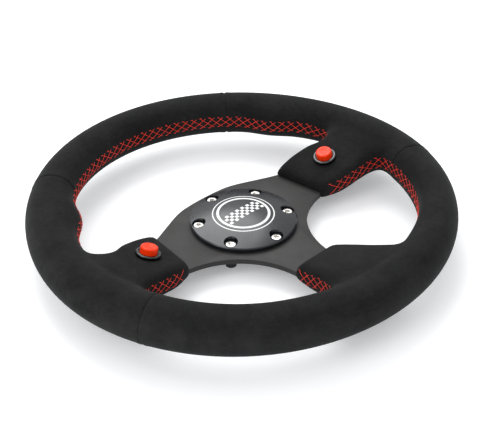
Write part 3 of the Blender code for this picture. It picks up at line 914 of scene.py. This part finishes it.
def add_plate():
    builder = prism(plate_outline(), 0.0, PLATE_THICKNESS)
    rise = RIM_CENTRE_Z - PLATE_THICKNESS / 2
    side_bend = RIM_RADIUS - CORE_RADIUS - rise / ARM_SLOPE
    slope = 1.12 * ARM_SLOPE
    lower_bend = rim_radius(math.pi) - CORE_RADIUS - rise / slope
    for point, normal in (((side_bend, 0, 0), (1, 0, 0)), ((-side_bend, 0, 0), (1, 0, 0)),
                          ((0, -lower_bend, 0), (0, 1, 0))):
        everything = builder.verts[:] + builder.edges[:] + builder.faces[:]
        bmesh.ops.bisect_plane(builder, geom=everything, dist=1e-7, plane_co=point, plane_no=normal)
    for vert in builder.verts:
        vert.co.z += ARM_SLOPE * max(0.0, abs(vert.co.x) - side_bend)
        vert.co.z += slope * max(0.0, -vert.co.y - lower_bend)
    plate = add_piece("machined_spoke_plate", builder, PLATE, None)
    cutters = [add_piece("cutter", cylinder(HUB_BORE, -0.01, 0.02, 96), PLATE, None)]
    cutters += [add_piece("cutter", cylinder(SCREW_HOLE, -0.01, 0.02, 32), PLATE, None,
                          transform=Matrix.Translation((x, y, 0))) for x, y in bolt_places()]
    cutters += [add_piece("cutter", cylinder(BARREL_HOLE, -0.04, 0.01, 48), PLATE, None,
                          transform=button_frame(side)) for side in SIDES]
    carve(plate, cutters)
    bevel(plate, 0.00045, 3)
    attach(plate, WHEEL)
    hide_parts("spoke_plate")


add_plate()


# ---------------------------------------------------------------------------- centre plate and screws

def dome(radius):
    """The height of the centre plate's face at a distance from the axis."""
    return DISC_SHOULDER + (DISC_RADIUS ** 2 - radius ** 2) / (2 * DOME_RADIUS)


def turned_plate():
    """The domed disc and its spigot, with concentric rows so that the face shades smoothly."""
    spigot, edge = HUB_BORE - GAP, 0.0007
    rim = DISC_RADIUS - edge
    rows = 40
    face = [(rim * (rows - i) / rows, dome(rim * (rows - i) / rows)) for i in range(rows + 1)]
    profile = [(0, 0), (spigot - 0.0004, 0), (spigot, 0.0004), (spigot, DISC_BOTTOM),
               (DISC_RADIUS - 0.0003, DISC_BOTTOM), (DISC_RADIUS, DISC_BOTTOM + 0.0003),
               (DISC_RADIUS, DISC_SHOULDER - edge), *face]
    return turned(profile, 180)


def add_centre_plate():
    top = dome(0) + 0.001
    disc = add_piece("machined_centre_plate", turned_plate(), DISC, None, angle=25.0)
    recess = [(0, -0.01), (SCREW_HOLE, -0.01), (SCREW_HOLE, SCREW_SEAT - GAP), (COUNTERBORE, SCREW_SEAT - GAP),
              (COUNTERBORE, top), (0, top)]
    cutters = [add_piece("cutter", turned(recess, 48), DISC, None, transform=Matrix.Translation((x, y, 0)))
               for x, y in bolt_places()]
    carve(disc, cutters, angle=25.0)
    disc.data.set_sharp_from_angle(angle=math.radians(12))
    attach(disc, WHEEL)
    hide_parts("centre_plate")


PRINT = 0.00006


def add_printed_rings():
    for name, (inner, outer) in RINGS.items():
        rows = [inner + (outer - inner) * i / 4 for i in range(5)]
        profile = [(r, dome(r) - 0.0003) for r in rows] + [(r, dome(r) + PRINT) for r in reversed(rows)]
        add_piece(f"printed_ring_{name}", turned(profile, 180), WHITE, WHEEL, (f"badge_ring_{name}",))


def add_chequer():
    """A plain chequered band across the middle of the rings, following the dome."""
    builder = bmesh.new()
    cell, rows, columns = 0.0027, 4, 13
    half = cell / 2 * 0.98
    for row in range(rows):
        for column in range(columns):
            if (row + column) % 2:
                continue
            x = (column - (columns - 1) / 2) * cell
            y = (row - (rows - 1) / 2) * cell
            corners = [(x + i * half, y + j * half) for i, j in ((-1, -1), (1, -1), (1, 1), (-1, 1))]
            sections = [[(a, b, dome(math.hypot(a, b)) + lift) for a, b in corners]
                        for lift in (-0.0003, PRINT)]
            loft(sections, builder=builder)
    add_piece("printed_chequer", builder, WHITE, WHEEL)


def add_screw(number, x, y):
    """A low-head socket screw with a rounded edge and a hexagon recess."""
    seat, top, radius, shank = SCREW_SEAT, SCREW_SEAT + HEAD_HEIGHT, HEAD_RADIUS, SHANK_RADIUS
    rounding = arc((radius - 0.0006, top - 0.0006), 0.0006, 0, math.pi / 2, 5)
    tip = seat - SHANK_LENGTH
    profile = [(0, tip), (shank - 0.0004, tip), (shank, tip + 0.0004), (shank, seat), (radius - 0.0002, seat),
               (radius, seat + 0.0002), *rounding, (0, top)]
    where = Matrix.Translation((x, y, 0)) @ Matrix.Rotation(0.4 * number, 4, "Z")
    screw = add_piece(f"socket_screw_{number}", turned(profile, 48), ZINC, None, transform=where)
    socket = [(0, top - 0.0014), (0.0021, top - 0.0014), (0.0021, top - 0.0002), (0.0024, top + 0.0001),
              (0.0024, top + 0.001), (0, top + 0.001)]
    carve(screw, [add_piece("cutter", turned(socket, 6), ZINC, None, transform=where)])
    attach(screw, WHEEL)
    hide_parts(f"centre_screw_{number}")


def add_sleeve_nut(number, x, y):
    bottom, top, radius = STAND_Z, -GAP, SLEEVE_RADIUS
    profile = [(SCREW_HOLE, bottom), (radius - 0.0005, bottom), (radius, bottom + 0.0005), (radius, top),
               (SCREW_HOLE, top)]
    add_piece(f"round_sleeve_nut_{number}", turned(profile, 48), BLACK_STEEL, WHEEL,
              (f"sleeve_nut_{number}",), transform=Matrix.Translation((x, y, 0)))


add_centre_plate()
add_printed_rings()
add_chequer()
for index, (bolt_x, bolt_y) in enumerate(bolt_places(), start=1):
    add_screw(index, bolt_x, bolt_y)
    add_sleeve_nut(index, bolt_x, bolt_y)


# ---------------------------------------------------------------------------- thumb buttons

def add_bezel(side):
    """A rolled trim ring that sits on the suede."""
    outer_roll = arc((BEZEL_RADIUS - 0.0010, 0.0018), 0.0010, 0, math.pi / 2, 8)
    profile = [(0.0087, GAP), (BEZEL_RADIUS, GAP), *outer_roll, (0.0077, 0.0029), (0.0073, 0.0026),
               (0.0073, 0.0024), (0.0087, 0.0024)]
    add_piece(f"{side}_trim_ring", turned(profile, 72), DARK_CHROME, WHEEL, (f"{side}_bezel_ring",),
              transform=button_frame(side))


def add_cap(side):
    """A glossy cap with a rolled edge and a shallow dish."""
    radius, top, edge = CAP_RADIUS, CAP_TOP, 0.0012
    rounding = arc((radius - edge, top - edge), edge, 0, math.pi / 2, 8)
    dish = [(0.0050 - 0.0010 * i, top - 0.0006 * smoothstep(i, 0, 4)) for i in range(5)]
    profile = [(0, -0.0020), (radius, -0.0020), *rounding, *dish, (0, top - 0.0006)]
    add_piece(f"{side}_red_cap", turned(profile, 72), RED, f"{side}_button", (f"{side}_button_cap",),
              transform=button_frame(side))


for name in SIDES:
    add_bezel(name)
    add_cap(name)


# ---------------------------------------------------------------------------- floor and light

def add_floor():
    floor_z = cad_box[0][2] - 0.0001
    mesh = bpy.data.meshes.new("floor")
    reach = 6.0
    mesh.from_pydata([(-reach, -reach, floor_z), (reach, -reach, floor_z), (reach, reach, floor_z),
                      (-reach, reach, floor_z)], [], [(0, 1, 2, 3)])
    mesh.materials.append(floor_material())
    floor = bpy.data.objects.new("floor", mesh)
    bpy.context.scene.collection.objects.link(floor)


def add_area_light(name, place, size, power):
    """A round softbox that faces the wheel's middle."""
    data = bpy.data.lights.new(name, "AREA")
    data.shape = "DISK"
    data.size = size
    data.energy = power
    light = bpy.data.objects.new(name, data)
    bpy.context.scene.collection.objects.link(light)
    light.location = place
    light.rotation_euler = (-Vector(place)).to_track_quat("-Z", "Y").to_euler()


def add_world():
    world = bpy.data.worlds.new("studio")
    world.use_nodes = True
    background = world.node_tree.nodes["Background"]
    background.inputs["Color"].default_value = (1.0, 1.0, 1.0, 1.0)
    background.inputs["Strength"].default_value = 0.95
    bpy.context.scene.world = world


add_floor()
add_world()
add_area_light("softbox_back", (0.5, 0.9, 1.3), 1.2, 16.0)
add_area_light("softbox_left", (-1.2, 0.1, 1.0), 0.8, 5.0)
bpy.context.scene.view_settings.view_transform = "Standard"
